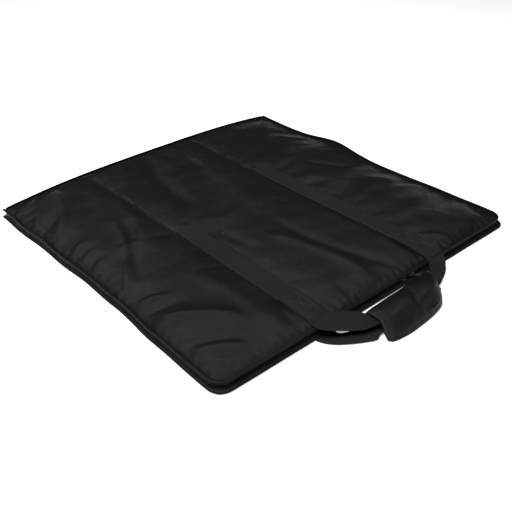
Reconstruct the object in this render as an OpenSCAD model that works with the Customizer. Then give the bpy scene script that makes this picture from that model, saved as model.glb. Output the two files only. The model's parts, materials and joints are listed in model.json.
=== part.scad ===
// Soft zip-up portfolio case, lying on its back face, with its two webbing handles held
// together by a padded grip. X runs along the opening edge, Y from the opening edge to the
// spine, Z up. The origin is at the middle of the face that the case lies on.

/* [Case] */
// Length of the opening edge
case_w = 610; // [480:10:700]
// Depth from the opening edge to the spine
case_d = 610; // [480:10:700]
// Height of the padded front face above the table
case_h = 23; // [22:0.5:28]
// Radius of the two corners at the opening edge
corner_r = 22; // [16:1:36]
// Width of the soft slope between the edge and the flat of the front face
slope_w = 30; // [24:1:45]
// Thickness of the nylon cover
cover_t = 1.2; // [0.8:0.1:1.4]
// Thickness of the foam in each face
foam_t = 5; // [4:0.5:6]
// Thickness of the lining
lining_t = 0.8; // [0.5:0.1:1]

/* [Edge band] */
// Radius of the piping cord in both edge seams
piping_r = 1.6; // [1.2:0.1:2]
// Height of the band between the two pipings
band_h = 7.4; // [7:0.2:10]
// Distance that the zip runs back along each side
zip_side_run = 367; // [250:1:420]

/* [Zip] */
// Thickness of the zip tape
tape_t = 1; // [0.6:0.1:1]
// Height of one row of coil
coil_h = 2.5; // [2:0.1:3]
// Thickness of the coil in front of the tape
coil_t = 1.4; // [1:0.1:1.8]
// Length of a slider
slider_l = 11; // [8:0.5:14]
// Place of the near slider along the opening edge
slider_near_x = 46; // [30:1:60]
// Distance between the two sliders
slider_pitch = 18; // [16:1:30]
// Length of a pull tab from its pin
pull_l = 21; // [14:1:22]
// Angle at which the pull tabs rest off the zip
pull_angle = 40; // [30:1:60]

/* [Webbing] */
// Width of the webbing
strap_w = 38; // [30:1:50]
// Thickness of the webbing
strap_t = 1.6; // [1.2:0.1:2]
// Distance of each strap's middle from the middle of the case
strap_x = 121; // [105:1:160]
// Distance from the near strap's cut end to the fold of the front face, short of it
strap_near_stop = 44; // [20:1:120]
// Distance from the far strap's cut end to the fold of the front face, past it
strap_far_stop = 46; // [20:1:160]

/* [Handle grip] */
// Length of the grip along the handles
grip_l = 140; // [110:2:150]
// Distance of the grip's inner side from the opening edge
grip_gap = 30; // [28:1:40]
// Width of the grip across the handles
grip_w = 52; // [46:1:60]
// Top of the grip
grip_h = 24.6; // [22:0.2:26]

/* [Hidden] */
$fn = 48;

half_w = case_w / 2;
half_d = case_d / 2;
fold_y = -half_d + zip_side_run;
fold_gap = 1;
far_away = 2 * (case_w + case_d);
slice = 0.01;
clear = 0.3;

// Levels, from the table up
channel_h = strap_t + 0.4;
lower_piping_z = channel_h + piping_r;
band_low = lower_piping_z + piping_r;
band_high = band_low + band_h;
band_mid = (band_low + band_high) / 2;
upper_piping_z = band_high + piping_r;
rim_z = upper_piping_z + piping_r;
back_foam_top = cover_t + foam_t;
front_foam_z = case_h - cover_t - foam_t;
front_lining_z = front_foam_z - lining_t;

// Distances in from the edge
lip_inset = 2 * piping_r;
tape_inset = 1.1;
foam_inset = 14;
spine_slope = 8;
spine_inset = 10;

// Zip
zip_split = 0.8;
plate_t = 1.2;
inner_plate_t = 0.8;
slider_far_x = slider_near_x + slider_pitch;
slider_plate_h = band_h - 0.4;
outer_plate_inset = tape_inset - coil_t - clear;
pin_r = 1;
pin_clear = 0.05;
pin_inset = outer_plate_inset - plate_t - 1.7;
bridge_r = 2;
bridge_h = 3;
pull_w = 5.4;
pull_t = 1.6;
pull_arm_h = 1;

// Handles
handle_y = -half_d + 2.4;
strap_end_y = handle_y + 2.7;
front_handle_z = rim_z + 2.4;
back_handle_z = strap_t / 2;
front_tilt = 3.1;
back_tilt = -3;
slot_clear = 0.01;
hem_r = strap_t / 2 + 0.3;
handle_corner_r = 45;
handle_inner_r = 12;

// Grip
grip_in_y = -half_d - grip_gap;
grip_out_y = grip_in_y - grip_w + 1.2;
grip_split_z = 11.6;
grip_split_gap = 0.6;
grip_wall = 1.2;
grip_corner_r = 5;
fastener_t = 0.6;
fastener_l = 100;
fastener_h = 8;
fastener_z = 3;
fastener_gap = 0.4;
hook_t = fastener_t - 0.1;
flap_wall_y = grip_out_y - fastener_t - fastener_gap - hook_t;
flap_fold_gap = 0.7;
flap_floor_gap = 1;

// ---------- shared shapes ----------

// The case's outline, drawn in from the edge; the spine side has its own inset.
module outline(inset, spine = 0) {
    r = corner_r - inset;
    x = half_w - inset;
    low = -half_d + inset;
    high = half_d - spine;
    if (r > 0.5) {
        translate([-x, low + r]) square([2 * x, high - low - r]);
        translate([-x + r, low]) square([2 * (x - r), 2 * r]);
        for (side = [-1, 1])
            translate([side * (x - r), low + r]) circle(r);
    } else
        translate([-x, low]) square([2 * x, high - low]);
}

// Everything between two places along Y
module between(y_low, y_high) {
    intersection() {
        children();
        translate([-far_away / 2, y_low, -far_away / 2])
            cube([far_away, y_high - y_low, far_away]);
    }
}

// A wall that follows the edge, from one inset to another, ending at y_end on both sides
module edge_wall(inset, thick, z_low, z_high, y_end) {
    translate([0, 0, z_low])
        linear_extrude(z_high - z_low)
            intersection() {
                difference() {
                    outline(inset, -far_away);
                    outline(inset + thick, -far_away);
                }
                translate([-case_w, -case_d]) square([2 * case_w, case_d + y_end]);
            }
}

// A piping cord along the opening edge, round both corners and along both sides
module piping(z, y_end) {
    bend_r = corner_r - piping_r;
    bend_x = half_w - corner_r;
    bend_y = -half_d + corner_r;
    translate([-bend_x, -half_d + piping_r, z])
        rotate([0, 90, 0]) cylinder(r = piping_r, h = 2 * bend_x);
    for (side = [-1, 1]) {
        translate([side * bend_x, bend_y, z])
            rotate([0, 0, side < 0 ? 180 : 270])
                rotate_extrude(angle = 90) translate([bend_r, 0]) circle(piping_r);
        translate([side * (bend_x + bend_r), bend_y, z])
            rotate([-90, 0, 0]) cylinder(r = piping_r, h = y_end - bend_y);
    }
}

// The solid under the front face, from the rim of the edge seam up to the flat
module front_mound(edge_inset, top_inset, spine_top, z_low, z_high, spine_low = 0) {
    hull() {
        translate([0, 0, z_low]) linear_extrude(slice) outline(edge_inset, spine_low, $fn = 32);
        translate([0, 0, z_high - slice]) linear_extrude(slice) outline(top_inset, spine_top);
    }
}

// The front face's nylon cover, with the lip that is sewn in behind the piping
module front_cover() {
    difference() {
        front_mound(lip_inset, slope_w, spine_slope, rim_z, case_h);
        translate([0, 0, -cover_t])
            front_mound(lip_inset + cover_t, slope_w, spine_slope + cover_t, rim_z, case_h, cover_t);
    }
    edge_wall(lip_inset, cover_t, band_high, rim_z, half_d - cover_t);
}

module front_foam() {
    front_mound(foam_inset, slope_w + 1, spine_inset, front_foam_z, case_h - cover_t, spine_inset);
}

module front_lining() {
    translate([0, 0, front_lining_z])
        linear_extrude(lining_t) outline(foam_inset - 1, spine_inset);
}

// The part of the case that lifts, and the part that stays
module flap_part() {
    between(-far_away / 4, fold_y - fold_gap / 2) children();
}

module rear_part() {
    between(fold_y + fold_gap / 2, far_away / 4) children();
}

// A strip of webbing whose side profile is drawn as points of [y, z]
module strap(side, profile) {
    translate([side * strap_x - strap_w / 2, 0, 0])
        rotate([90, 0, 90]) linear_extrude(strap_w) polygon(profile);
}

// Where a strap's webbing ends, on the front face and on the back face
function strap_stop_y(side) = side < 0 ? fold_y - strap_near_stop : fold_y + strap_far_stop;

// The webbing on the front face, from the handle up the slope and along the flat to y_end
module front_strap_flap(side, y_end) {
    slope = (case_h - rim_z) / (slope_w - lip_inset);
    flat_y = -half_d + slope_w;
    end_z = case_h - slope * (flat_y - strap_end_y);
    strap(side, [
        [y_end, case_h], [flat_y, case_h], [strap_end_y, end_z],
        [strap_end_y, end_z + strap_t], [flat_y, case_h + strap_t], [y_end, case_h + strap_t]
    ]);
}

// The webbing on the front face behind the fold
module front_strap_rear(side) {
    start = fold_y + fold_gap / 2;
    end = strap_stop_y(side);
    strap(side, [
        [start, case_h], [end, case_h], [end, case_h + strap_t], [start, case_h + strap_t]
    ]);
}

module near_front_strap() {
    color([0.06, 0.06, 0.06]) front_strap_flap(-1, strap_stop_y(-1));
}

module far_front_strap() {
    color([0.06, 0.06, 0.06]) front_strap_flap(1, fold_y - fold_gap / 2);
}

module back_strap(side) {
    low = channel_h - strap_t;
    end = strap_stop_y(side);
    strap(side, [
        [strap_end_y, low], [end, low], [end, channel_h], [strap_end_y, channel_h]
    ]);
}

// ---------- back half ----------

module back_channels(extra, z_low, z_high) {
    for (side = [-1, 1])
        translate([side * strap_x - strap_w / 2 - extra, -case_d, z_low])
            cube([strap_w + 2 * extra, case_d + strap_stop_y(side) + extra, z_high - z_low]);
}

module back_cover() {
    color([0.05, 0.05, 0.055])
    difference() {
        union() {
            linear_extrude(cover_t) outline(lip_inset);
            edge_wall(lip_inset, cover_t, 0, band_low, half_d - cover_t);
            intersection() {
                back_channels(cover_t + clear, 0, channel_h + cover_t);
                linear_extrude(case_h) outline(lip_inset);
            }
        }
        back_channels(clear, -1, channel_h);
    }
}

module back_foam() {
    color([0.16, 0.16, 0.17])
    difference() {
        translate([0, 0, cover_t]) linear_extrude(foam_t) outline(foam_inset, spine_inset);
        back_channels(cover_t + clear, 0, channel_h + cover_t);
    }
}

module back_lining() {
    color([0.1, 0.1, 0.11])
    translate([0, 0, back_foam_top]) linear_extrude(lining_t) outline(foam_inset - 1, spine_inset);
}

module spine_cover() {
    color([0.05, 0.05, 0.055])
    translate([-half_w + lip_inset, half_d - cover_t, cover_t])
        cube([case_w - 2 * lip_inset, cover_t, rim_z - cover_t]);
}

module side_gusset(side) {
    x = half_w - tape_inset;
    color([0.05, 0.05, 0.055])
    translate([side > 0 ? x - cover_t : -x, fold_y + fold_gap / 2, band_low])
        cube([cover_t, half_d - fold_y - fold_gap / 2, band_h]);
}

module front_cover_rear() {
    color([0.05, 0.05, 0.055]) rear_part() front_cover();
}

module front_foam_rear() {
    color([0.16, 0.16, 0.17]) rear_part() front_foam();
}

module front_lining_rear() {
    color([0.1, 0.1, 0.11]) rear_part() front_lining();
}

module lower_piping() {
    color([0.03, 0.03, 0.035]) piping(lower_piping_z, half_d);
}

module upper_piping_rear() {
    color([0.03, 0.03, 0.035]) rear_part() piping(upper_piping_z, half_d);
}

module zip_end_tabs() {
    patch_l = 12;
    color([0.07, 0.07, 0.075])
    for (side = [-1, 1])
        translate([side > 0 ? half_w - tape_inset : -half_w + tape_inset - 1,
                   fold_y + fold_gap / 2, band_low])
            cube([1, patch_l, band_h]);
}

// ---------- zip ----------

module zip_tape(z_low, z_high) {
    color([0.06, 0.06, 0.065])
    edge_wall(tape_inset, tape_t, z_low, z_high, fold_y - fold_gap / 2);
}

module zip_tape_lower() {
    zip_tape(band_low, band_mid - zip_split / 2);
}

module zip_tape_upper() {
    zip_tape(band_mid + zip_split / 2, band_high);
}

module zip_coil(z_low) {
    color([0.02, 0.02, 0.02])
    edge_wall(tape_inset - coil_t, coil_t, z_low, z_low + coil_h, fold_y - 4);
}

module zip_coil_lower() {
    zip_coil(band_mid - zip_split / 2 - coil_h);
}

module zip_coil_upper() {
    zip_coil(band_mid + zip_split / 2);
}

// A slider: two plates joined by a thin neck between the coils, with a bridge for the pin
module slider(x) {
    plate_z = band_mid - slider_plate_h / 2;
    plate_y = -half_d + outer_plate_inset - plate_t;
    inner_y = -half_d + tape_inset + tape_t + clear;
    pin_y = -half_d + pin_inset;
    neck_l = slider_l - 5;
    neck_h = zip_split - 0.3;
    color([0.08, 0.08, 0.085])
    translate([x, 0, 0])
    difference() {
        union() {
            translate([-slider_l / 2, plate_y, plate_z]) cube([slider_l, plate_t, slider_plate_h]);
            translate([-slider_l / 2, inner_y, plate_z]) cube([slider_l, inner_plate_t, slider_plate_h]);
            translate([-neck_l / 2, plate_y, band_mid - neck_h / 2])
                cube([neck_l, inner_y - plate_y + inner_plate_t, neck_h]);
            translate([0, pin_y, band_mid - bridge_h / 2]) cylinder(r = bridge_r, h = bridge_h);
            translate([-bridge_r, pin_y, band_mid - bridge_h / 2])
                cube([2 * bridge_r, plate_y - pin_y + plate_t / 2, bridge_h]);
        }
        translate([0, pin_y, band_mid - bridge_h]) cylinder(r = pin_r + pin_clear, h = 2 * bridge_h);
    }
}

// A pull tab on its pin, turned off the zip by pull_angle towards one side
module pull_tab(x, side) {
    low = band_mid - pull_w / 2;
    arm_l = 4.5;
    color([0.04, 0.04, 0.045])
    translate([x, -half_d + pin_inset, 0])
        rotate([0, 0, side < 0 ? 180 + pull_angle : -pull_angle]) {
            translate([0, 0, low]) cylinder(r = pin_r, h = pull_w);
            for (z = [low, low + pull_w - pull_arm_h])
                translate([0, 0, z]) {
                    cylinder(r = pull_t - 0.2, h = pull_arm_h);
                    translate([0, -pull_t / 2, 0]) cube([arm_l, pull_t, pull_arm_h]);
                }
            translate([arm_l - 1, -pull_t / 2, low]) cube([pull_l - arm_l + 1 - pull_t / 2, pull_t, pull_w]);
            translate([pull_l - pull_t / 2, 0, low]) cylinder(r = pull_t / 2, h = pull_w);
        }
}

// ---------- front flap ----------

module front_cover_flap() {
    color([0.05, 0.05, 0.055]) flap_part() front_cover();
}

module front_foam_flap() {
    color([0.16, 0.16, 0.17]) flap_part() front_foam();
}

module front_lining_flap() {
    color([0.1, 0.1, 0.11]) flap_part() front_lining();
}

module upper_piping_flap() {
    color([0.03, 0.03, 0.035]) flap_part() piping(upper_piping_z, half_d);
}

// ---------- handles ----------

// A rectangle that hangs down from Y = 0, with its two lower corners rounded
module hanging_plate(x, reach, r) {
    intersection() {
        union() {
            translate([-x, -reach + r]) square([2 * x, reach - r]);
            translate([-x + r, -reach]) square([2 * (x - r), reach]);
            for (side = [-1, 1])
                translate([side * (x - r), -reach + r]) circle(r);
        }
        translate([-x, -reach]) square([2 * x, reach]);
    }
}

// A webbing handle: a flat U that runs from one strap to the other
module handle_loop(z, tilt, thick = strap_t, wide = 0) {
    inner_reach = handle_y - grip_in_y + 5;
    translate([0, handle_y, z])
        rotate([tilt, 0, 0])
            translate([0, 0, -thick / 2])
                linear_extrude(thick)
                    difference() {
                        hanging_plate(strap_x + strap_w / 2 + wide, inner_reach + strap_w + wide, handle_corner_r);
                        hanging_plate(strap_x - strap_w / 2 - wide, inner_reach - wide, handle_inner_r);
                    }
}

// The slot that a handle's webbing fills in the grip
module handle_slot(z, tilt) {
    handle_loop(z, tilt, strap_t + 2 * slot_clear, slot_clear);
}

// The front handle ends in two turned hems, on the line that the handles turn about
module front_handle_webbing() {
    color([0.06, 0.06, 0.06]) {
        handle_loop(front_handle_z, front_tilt);
        for (side = [-1, 1])
            translate([side * strap_x - strap_w / 2, handle_y, front_handle_z])
                rotate([0, 90, 0]) cylinder(r = hem_r, h = strap_w);
    }
}

module back_handle_webbing() {
    color([0.06, 0.06, 0.06]) handle_loop(back_handle_z, back_tilt);
}

// ---------- grip ----------

// A bar along X over the length of the grip, from its side profile
module grip_bar(length) {
    translate([-length / 2, 0, 0])
        rotate([90, 0, 90]) linear_extrude(length) children();
}

// Half of the grip's side profile: a box from the split to one face, with rounded outer corners
module grip_half(inset, z_face, z_split) {
    r = grip_corner_r - inset;
    up = z_face > z_split ? 1 : -1;
    low_y = grip_out_y + inset;
    high_y = grip_in_y - inset;
    face = z_face - up * inset;
    y_mid = face - up * r;
    translate([low_y, min(z_split, y_mid)]) square([high_y - low_y, abs(y_mid - z_split)]);
    translate([low_y + r, min(y_mid, face)]) square([high_y - low_y - 2 * r, r]);
    for (y = [low_y + r, high_y - r])
        translate([y, y_mid]) circle(r);
}

module grip_top_cover() {
    z_split = grip_split_z + grip_split_gap / 2;
    color([0.05, 0.05, 0.055])
    difference() {
        grip_bar(grip_l) {
            difference() {
                grip_half(0, grip_h, z_split);
                grip_half(grip_wall, grip_h, z_split - 1);
            }
            translate([flap_wall_y + flap_fold_gap, grip_h - grip_wall])
                square([grip_corner_r + grip_out_y - flap_wall_y, grip_wall]);
        }
        handle_slot(front_handle_z, front_tilt);
    }
}

module grip_top_foam() {
    color([0.16, 0.16, 0.17])
    difference() {
        grip_bar(grip_l - 4) grip_half(grip_wall, grip_h, grip_split_z + grip_split_gap / 2);
        handle_slot(front_handle_z, front_tilt);
    }
}

module grip_base_cover() {
    z_split = grip_split_z - grip_split_gap / 2;
    color([0.05, 0.05, 0.055])
    difference() {
        grip_bar(grip_l) difference() {
            grip_half(0, 0, z_split);
            grip_half(grip_wall, 0, z_split + 1);
        }
        handle_slot(back_handle_z, back_tilt);
    }
}

module grip_base_foam() {
    color([0.16, 0.16, 0.17])
    difference() {
        grip_bar(grip_l - 4) grip_half(grip_wall, 0, grip_split_z - grip_split_gap / 2);
        handle_slot(back_handle_z, back_tilt);
    }
}

module grip_loop_strip() {
    color([0.1, 0.1, 0.1])
    translate([-fastener_l / 2, grip_out_y - fastener_t, fastener_z + 2])
        cube([fastener_l, fastener_t, grip_split_z - fastener_z - 3]);
}

module grip_flap_cover() {
    color([0.05, 0.05, 0.055])
    translate([-grip_l / 2, flap_wall_y - grip_wall, flap_floor_gap])
        cube([grip_l, grip_wall, grip_h - flap_floor_gap]);
}

module grip_hook_strip() {
    color([0.03, 0.03, 0.03])
    translate([-fastener_l / 2, flap_wall_y, fastener_z]) cube([fastener_l, hook_t, fastener_h]);
}

back_cover();
back_foam();
back_lining();
spine_cover();
side_gusset(-1);  // side_gusset_near
side_gusset(1);  // side_gusset_far
front_cover_rear();
front_foam_rear();
front_lining_rear();
lower_piping();
upper_piping_rear();
zip_tape_lower();
zip_coil_lower();
zip_end_tabs();
color([0.06, 0.06, 0.06]) front_strap_rear(1);  // strap_far_rear
color([0.06, 0.06, 0.06]) back_strap(-1);  // strap_near_back
color([0.06, 0.06, 0.06]) back_strap(1);  // strap_far_back
front_cover_flap();
front_foam_flap();
front_lining_flap();
upper_piping_flap();
zip_tape_upper();
zip_coil_upper();
near_front_strap();  // strap_near_front
far_front_strap();  // strap_far_front
front_handle_webbing();
grip_top_cover();
grip_top_foam();
grip_flap_cover();
grip_hook_strip();
back_handle_webbing();
grip_base_cover();
grip_base_foam();
grip_loop_strip();
slider(slider_near_x);  // slider_near
slider(slider_far_x);  // slider_far
pull_tab(slider_near_x, -1);  // pull_tab_near
pull_tab(slider_far_x, 1);  // pull_tab_far
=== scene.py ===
import json
import math

import bpy
import numpy as np
from mathutils import Matrix, Vector
from mathutils.bvhtree import BVHTree


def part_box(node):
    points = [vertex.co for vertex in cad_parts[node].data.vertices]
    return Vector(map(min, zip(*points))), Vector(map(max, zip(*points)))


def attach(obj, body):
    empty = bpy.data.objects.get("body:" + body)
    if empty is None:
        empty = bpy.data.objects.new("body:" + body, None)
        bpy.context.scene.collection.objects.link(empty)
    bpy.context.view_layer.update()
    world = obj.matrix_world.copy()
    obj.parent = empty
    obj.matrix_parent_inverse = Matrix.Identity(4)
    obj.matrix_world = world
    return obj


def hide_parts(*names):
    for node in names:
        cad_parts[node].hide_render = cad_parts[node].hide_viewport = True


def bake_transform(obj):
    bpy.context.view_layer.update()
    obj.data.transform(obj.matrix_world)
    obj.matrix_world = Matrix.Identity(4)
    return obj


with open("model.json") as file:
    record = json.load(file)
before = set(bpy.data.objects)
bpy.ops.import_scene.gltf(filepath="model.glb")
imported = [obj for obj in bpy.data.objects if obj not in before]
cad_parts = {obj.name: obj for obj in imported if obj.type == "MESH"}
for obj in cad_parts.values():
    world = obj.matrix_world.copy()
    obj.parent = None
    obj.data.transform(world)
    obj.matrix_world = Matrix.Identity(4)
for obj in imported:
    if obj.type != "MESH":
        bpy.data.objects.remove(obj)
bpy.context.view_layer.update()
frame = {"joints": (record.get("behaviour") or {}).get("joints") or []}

# ---- Sizes and places, from the frame ----

MM = 0.001
joints = {j["name"]: j for j in frame["joints"]}
pipe_low, pipe_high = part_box("lower_piping")
upper_pipe_low, upper_pipe_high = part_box("upper_piping_flap")
strap_low, strap_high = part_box("strap_far_front")
tape_low, tape_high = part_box("zip_tape_upper")

HALF_W = pipe_high.x
EDGE_Y = pipe_low.y
SPINE_Y = pipe_high.y
PIPING_R = (pipe_high.z - pipe_low.z) / 2
LOW_SEAM_Z = (pipe_high.z + pipe_low.z) / 2
HIGH_SEAM_Z = (upper_pipe_high.z + upper_pipe_low.z) / 2
TOP_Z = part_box("front_cover_flap")[1].z
LINING_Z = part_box("front_lining_flap")[0].z
BACK_LINING_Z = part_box("back_lining")[1].z
BACK_STRAP_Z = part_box("strap_near_back")[1].z
FOLD_Y = joints["case_opening"]["pos_m"][1]
ZIP_MID_Z = (tape_low.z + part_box("zip_tape_lower")[1].z) / 2
ZIP_END_Y = tape_high.y - 1 * MM
STRAP_X = (strap_low.x + strap_high.x) / 2
STRAP_W = strap_high.x - strap_low.x
NEAR_STRAP_END_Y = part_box("strap_near_front")[1].y
FAR_STRAP_END_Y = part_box("strap_far_rear")[1].y
WEBBING_T = 1.5 * MM
CORNER_R = 22 * MM
SPINE_CORNER_R = 7 * MM

scene = bpy.context.scene
collection = scene.collection


def smoothstep(t):
    """0 below 0, 1 above 1, and smooth between."""
    t = np.clip(t, 0, 1)
    return t * t * (3 - 2 * t)


def bell(value, middle, width):
    """1 at the middle, falling to 0 beyond about two widths."""
    return np.exp(-(((value - middle) / width) ** 2))


def wobble(x, y, seed, size):
    """Smooth noise between about -1 and 1, with features of about that size, the same each run."""
    rng = np.random.RandomState(seed)
    total = np.zeros_like(np.asarray(x, float) + np.asarray(y, float))
    waves = 9
    for _ in range(waves):
        angle = rng.uniform(0, 2 * math.pi)
        pitch = size * rng.uniform(0.7, 1.8)
        phase = rng.uniform(0, 2 * math.pi)
        total += np.sin((x * math.cos(angle) + y * math.sin(angle)) * 2 * math.pi / pitch + phase)
    return total / waves ** 0.5 / 1.2


def settled(points):
    """How the soft case lies. Its seams stand a little proud and its lower edge spreads on the table,
    the near side draws in, and the far side and the spine lift."""
    p = np.array(points, float)
    x, y, z = p[..., 0], p[..., 1], p[..., 2]
    above = smoothstep(z / (14 * MM))
    proud = 2.6 * MM * smoothstep((z - 10 * MM) / (4 * MM)) + 5.6 * MM * smoothstep((7 * MM - z) / (5 * MM))
    spread = 3.0 * MM * smoothstep((7 * MM - z) / (5 * MM))
    near_edge = np.clip((-x - 255 * MM) / (45 * MM), 0, 1)
    far_edge = np.clip((x - 255 * MM) / (45 * MM), 0, 1)
    front_edge = np.clip((-y - 260 * MM) / (40 * MM), 0, 1)
    near = np.clip(-x / (305 * MM), 0, 1)
    far = np.clip((x - 150 * MM) / (155 * MM), 0, 1) ** 1.4
    spine = np.clip((y - 190 * MM) / (115 * MM), 0, 1) ** 1.7
    crest = 1 - np.clip(np.abs(x - 10 * MM) / (318 * MM), 0, 1) ** 3
    q = p.copy()
    q[..., 0] += -near_edge * proud + 0.4 * far_edge * proud
    q[..., 1] -= front_edge * (proud + spread)
    q[..., 0] += 5 * MM * near ** 1.3 * bell(y, -30 * MM, 120 * MM)
    q[..., 0] -= 3 * MM * near_edge * smoothstep((y - 170 * MM) / (80 * MM))
    q[..., 0] += 0.8 * MM * near_edge * np.sin(y * 51) * smoothstep((y + 250 * MM) / (80 * MM))
    q[..., 1] += spine * (3 * MM + 6 * MM * crest)
    q[..., 0] += 4 * MM * far * bell(y, 85 * MM, 60 * MM)
    q[..., 2] += 9 * MM * far * bell(y, 85 * MM, 60 * MM) * above
    q[..., 2] -= 1.6 * MM * far * bell(y, -60 * MM, 70 * MM) * above
    q[..., 2] += 13 * MM * spine * crest * above
    return q


# ---- Mesh building ----

def add_piece(name, verts, faces, materials, face_material=None, strip=None):
    """A smooth-shaded mesh object. strip holds each point's place across and along a woven strip."""
    mesh = bpy.data.meshes.new(name)
    mesh.from_pydata([tuple(v) for v in np.asarray(verts, float)], [], [tuple(f) for f in faces])
    mesh.update()
    for material in materials:
        mesh.materials.append(material)
    mesh.polygons.foreach_set("use_smooth", [True] * len(mesh.polygons))
    if face_material is not None:
        mesh.polygons.foreach_set("material_index", list(face_material))
    if strip is not None:
        attribute = mesh.attributes.new("strip", "FLOAT_VECTOR", "POINT")
        flat = np.zeros((len(mesh.vertices), 3), np.float32)
        flat[:, :2] = np.asarray(strip, float).reshape(-1, 2)
        attribute.data.foreach_set("vector", flat.ravel())
    piece = bpy.data.objects.new(name, mesh)
    collection.objects.link(piece)
    return piece


def applied(piece):
    """The piece with its modifiers applied."""
    mesh = bpy.data.meshes.new_from_object(piece.evaluated_get(bpy.context.evaluated_depsgraph_get()))
    old = piece.data
    piece.modifiers.clear()
    piece.data = mesh
    bpy.data.meshes.remove(old)
    mesh.name = piece.name
    mesh.polygons.foreach_set("use_smooth", [True] * len(mesh.polygons))
    return piece


def subdivided(piece):
    """The piece with one Catmull-Clark subdivision applied."""
    piece.modifiers.new("subdivide", "SUBSURF").levels = 1
    return applied(piece)


def grid_faces(rows, columns, offset=0, flip=False):
    made = []
    for i in range(rows - 1):
        for j in range(columns - 1):
            a = offset + i * columns + j
            quad = (a, a + 1, a + columns + 1, a + columns)
            made.append(quad[::-1] if flip else quad)
    return made


def closed_sheet(name, top, bottom, top_material, bottom_material, strip=None):
    """A closed piece between two grids of points, such as a padded panel or a strip of webbing."""
    rows, columns = top.shape[:2]
    size = rows * columns
    verts = np.concatenate([top.reshape(-1, 3), bottom.reshape(-1, 3)])
    faces = grid_faces(rows, columns) + grid_faces(rows, columns, size, flip=True)
    index = np.arange(size).reshape(rows, columns)
    rim = list(index[0, :-1]) + list(index[:-1, -1]) + list(index[-1, :0:-1]) + list(index[:0:-1, 0])
    side_count = len(rim)
    for k in range(side_count):
        a, b = rim[k], rim[(k + 1) % side_count]
        faces.append((b, a, a + size, b + size))
    top_count = (rows - 1) * (columns - 1)
    slots = [0] * top_count + [1] * top_count + [0] * side_count
    both = None if strip is None else np.concatenate([strip.reshape(-1, 2), strip.reshape(-1, 2)])
    return add_piece(name, verts, faces, [top_material, bottom_material], slots, both)


def grid_normals(grid):
    along = np.gradient(grid, axis=0)
    across = np.gradient(grid, axis=1)
    n = np.cross(across, along)
    return n / np.maximum(np.linalg.norm(n, axis=-1, keepdims=True), 1e-12)


def strip_places(grid):
    """For each point of a grid, how far it is across and along it, in metres."""
    across = np.linalg.norm(np.diff(grid, axis=1), axis=-1).mean(0)
    along = np.linalg.norm(np.diff(grid, axis=0), axis=-1).mean(1)
    u = np.concatenate([[0], np.cumsum(across)])
    v = np.concatenate([[0], np.cumsum(along)])
    return np.stack(np.broadcast_arrays(u[None, :], v[:, None]), axis=-1)


def thick_strip(name, grid, thickness, material, lift=0.0):
    """Webbing, tape or a padded flap: a grid of points given a thickness, thinner at its two long edges."""
    n = grid_normals(grid)
    edge = 0.25
    t = np.linspace(-1, 1, grid.shape[1])
    share = (edge + (1 - edge) * (1 - np.abs(t) ** 8))[None, :, None]
    top = grid + n * (lift + thickness * share)
    bottom = grid + n * (lift + thickness * (1 - share) * 0.5)
    return closed_sheet(name, top, bottom, material, material, strip_places(grid))


def tube_faces(count, sides):
    """The faces of a capped tube of rings."""
    faces = []
    for i in range(count - 1):
        for j in range(sides):
            k = (j + 1) % sides
            faces.append((i * sides + j, i * sides + k, (i + 1) * sides + k, (i + 1) * sides + j))
    faces.append(tuple(range(sides))[::-1])
    faces.append(tuple(range((count - 1) * sides, count * sides)))
    return faces


def loft(name, rings, material):
    """A tube through closed rings of points."""
    rings = np.asarray(rings, float)
    return add_piece(name, rings.reshape(-1, 3), tube_faces(*rings.shape[:2]), [material])


def bead(sides=6):
    """A small rounded bar along its own first axis, one unit long, wide and high."""
    rings = [(-0.5, 0.45), (-0.36, 0.9), (0.0, 1.0), (0.36, 0.9), (0.5, 0.45)]
    angles = [2 * math.pi * k / sides for k in range(sides)]
    verts = [(x, 0.5 * r * math.cos(a), 0.5 * r * math.sin(a)) for x, r in rings for a in angles]
    return np.array(verts), tube_faces(len(rings), sides)


def unit(vectors):
    return vectors / np.linalg.norm(vectors, axis=1, keepdims=True)


def scattered(name, origins, axes_a, axes_b, size, material):
    """Copies of the bead, one at each origin. axes_a is along each bead, axes_b across it."""
    origins = np.asarray(origins, float)
    a = unit(np.asarray(axes_a, float))
    b = np.asarray(axes_b, float)
    b = unit(b - a * (a * b).sum(1, keepdims=True))
    verts, faces = bead()
    points = origins[:, None, :]
    for axis, (direction, measure) in enumerate(zip((a, b, np.cross(a, b)), size)):
        points = points + direction[:, None, :] * (verts[None, :, axis:axis + 1] * measure)
    every = [tuple(i + n * len(verts) for i in f) for n in range(len(origins)) for f in faces]
    return add_piece(name, points.reshape(-1, 3), every, [material])


def lengths(points):
    """How far along a line each of its points is."""
    return np.concatenate([[0], np.cumsum(np.linalg.norm(np.diff(points, axis=0), axis=1))])


def sampled(at, length, values):
    return np.stack([np.interp(at, length, values[:, k]) for k in range(values.shape[1])], axis=1)


def stitch_places(line, normals, start, pitch):
    """Places at an even pitch along a line, and the normals there."""
    length = lengths(line)
    at = np.arange(start, length[-1], pitch)
    return sampled(at, length, line), sampled(at, length, normals)


STITCH = (2.5 * MM, 0.55 * MM, 0.8 * MM)
SEAM_STITCH = (2.4 * MM, 0.5 * MM, 0.6 * MM)
BOX_STITCH = (2.3 * MM, 0.6 * MM, 0.8 * MM)


def sewn_rows(name, rows, size, sink=0.0):
    """Rows of stitches. Each row is its places and the normals there."""
    rows = [row for row in rows if len(row[0]) > 1]
    origins = np.concatenate([places - normals * sink for places, normals in rows])
    along = np.concatenate([np.gradient(places, axis=0) for places, _ in rows])
    return scattered(name, origins, along, np.concatenate([normals for _, normals in rows]), size, thread)


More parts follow.
